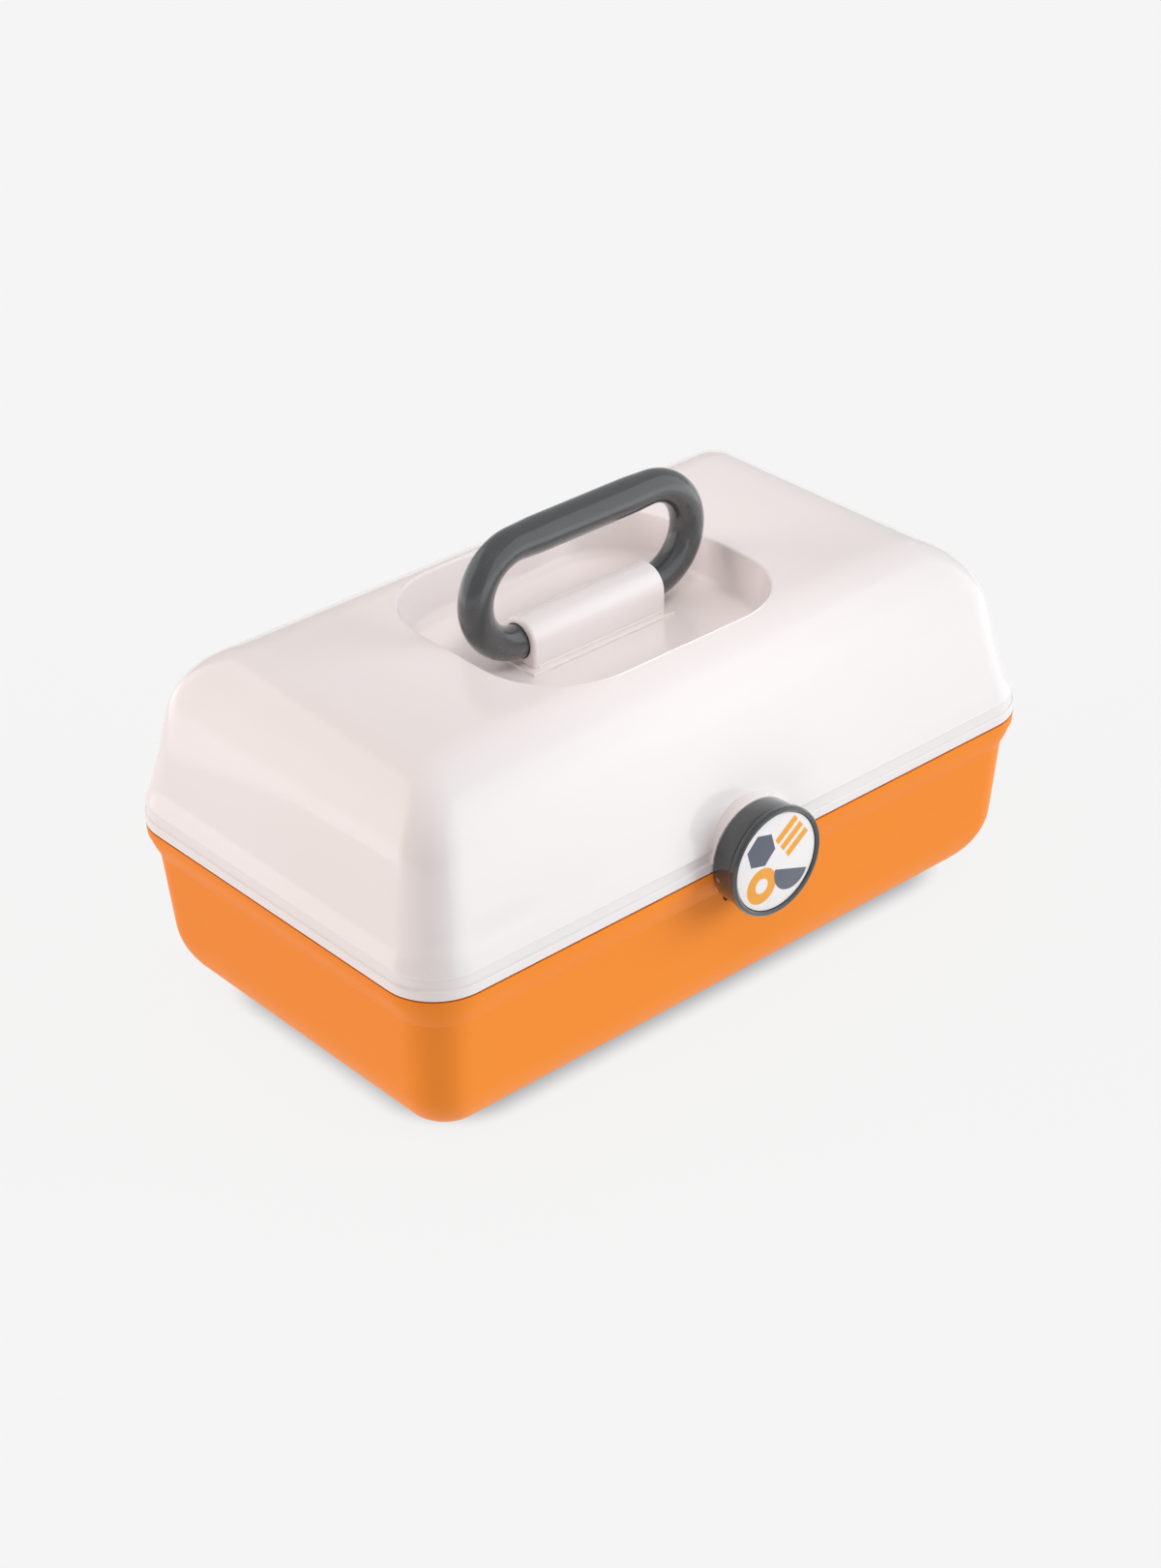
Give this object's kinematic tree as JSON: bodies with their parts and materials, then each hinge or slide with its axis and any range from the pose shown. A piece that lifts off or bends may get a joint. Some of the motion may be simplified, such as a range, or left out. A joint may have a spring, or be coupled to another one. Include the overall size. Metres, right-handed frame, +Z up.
{
  "type": "cosmetic train case",
  "caption": "Hard two-tone cosmetic case with folding bail handle, round snap latch, flip mirror in the lid and a tray that rises level as the lid opens.",
  "frame": {"origin": "on the resting plane, under the middle of the base shell's outline", "axes": "+X along the case's length towards the right end as seen from the latch side, -Y towards the latch, +Z up"},
  "size_m": [0.3416, 0.2283, 0.2058],
  "materials": {
    "orange_shell": "moulded plastic, soft gloss, orange",
    "pearl_shell": "moulded plastic, pearl white with a faint pink cast, glossy",
    "slate_plastic": "moulded plastic, dark slate grey, glossy",
    "latch_face": null,
    "tray_plastic": "moulded plastic, warm white, satin",
    "steel": "plain steel pins and screws",
    "mirror_silver": "silvered acrylic mirror"
  },
  "bodies": {
    "base": {"base_shell": "orange_shell", "hinge_pins": "steel", "arm_pivot_pins": "steel"},
    "lid": {"lid_shell": "pearl_shell", "handle_saddle": "pearl_shell", "saddle_screws": "steel", "tray_bracket_left": "slate_plastic", "tray_bracket_right": "slate_plastic", "bracket_screws": "steel", "tray_lid_pins": "steel", "mirror_pins": "steel"},
    "handle": {"handle": "slate_plastic"},
    "latch": {"latch_cup": "slate_plastic", "latch_insert": "latch_face", "latch_pivot_pin": "steel", "latch_catch_pin": "steel"},
    "tray": {"tray": "tray_plastic", "tray_dividers": "tray_plastic"},
    "arms": {"arm_left": "slate_plastic", "arm_right": "slate_plastic", "tray_arm_pins": "steel"},
    "mirror": {"mirror_frame": "slate_plastic", "mirror_glass": "mirror_silver"}
  },
  "joints": [
    {"name": "lid_hinge", "type": "hinge", "parent": "base", "child": "lid", "pos_m": [0, 0.1073, 0.0814], "axis": [-1, 0, 0], "range_deg": [0, 100]},
    {"name": "latch_swing", "type": "hinge", "parent": "base", "child": "latch", "pos_m": [0, -0.1031, 0.068], "axis": [1, 0, 0], "range_deg": [0, 60]},
    {"name": "handle_fold", "type": "hinge", "parent": "lid", "child": "handle", "pos_m": [0, 0, 0.1533], "axis": [1, 0, 0], "range_deg": [-90, 90]},
    {"name": "mirror_flip", "type": "hinge", "parent": "lid", "child": "mirror", "pos_m": [0, 0.0615, 0.135], "axis": [1, 0, 0], "range_deg": [0, 24]},
    {"name": "tray_level", "type": "hinge", "parent": "lid", "child": "tray", "pos_m": [0, 0.0438, 0.0694], "axis": [-1, 0, 0], "range_deg": [-100, 0]},
    {"name": "arm_swing", "type": "hinge", "parent": "base", "child": "arms", "pos_m": [0, 0.028, 0.069], "axis": [-1, 0, 0], "range_deg": [0, 100]}
  ],
  "couplings": [
    {"joint": "tray_level", "follows": "lid_hinge", "ratio": -1},
    {"joint": "arm_swing", "follows": "lid_hinge", "ratio": 1}
  ]
}
